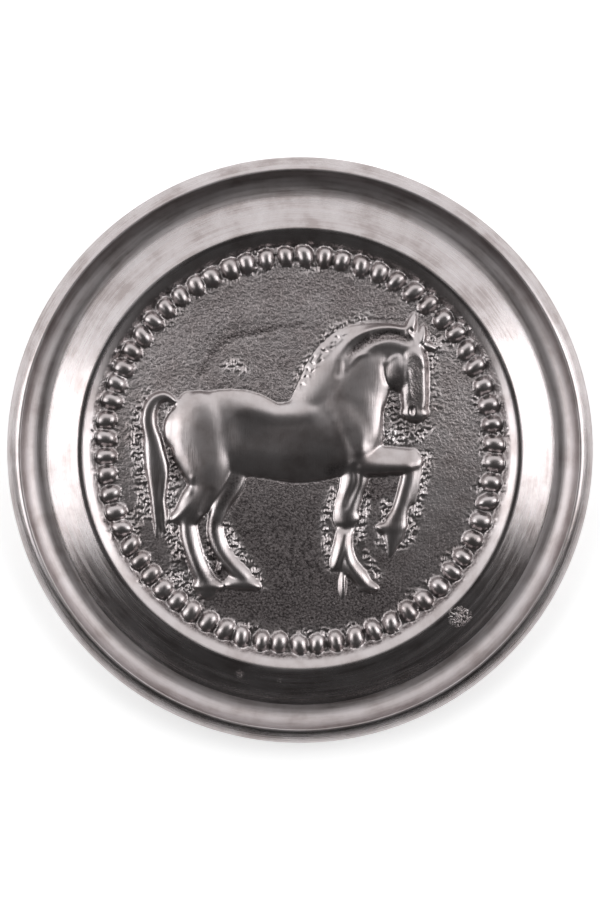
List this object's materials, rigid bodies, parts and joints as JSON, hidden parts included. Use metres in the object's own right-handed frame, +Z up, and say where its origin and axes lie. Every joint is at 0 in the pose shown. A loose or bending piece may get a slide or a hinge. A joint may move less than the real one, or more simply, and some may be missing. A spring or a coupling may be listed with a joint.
{
  "type": "phalera",
  "caption": "Round cast phalera with a bevelled, dished rim, a ring of beads and a high-stepping horse in relief on a rough ground; flat back.",
  "frame": {"origin": "centre of the flat back face", "axes": "+Z up through the disc, out of its decorated face; +Y towards the horse's back and ears; +X the way the horse faces"},
  "size_m": [0.07, 0.07, 0.0046],
  "materials": {
    "white_metal": "burnished antiqued white metal: the rim turned with fine rings, the ground rough from the sand mould and darker in its hollows"
  },
  "bodies": {
    "root": {"phalera": "white_metal"}
  },
  "joints": []
}
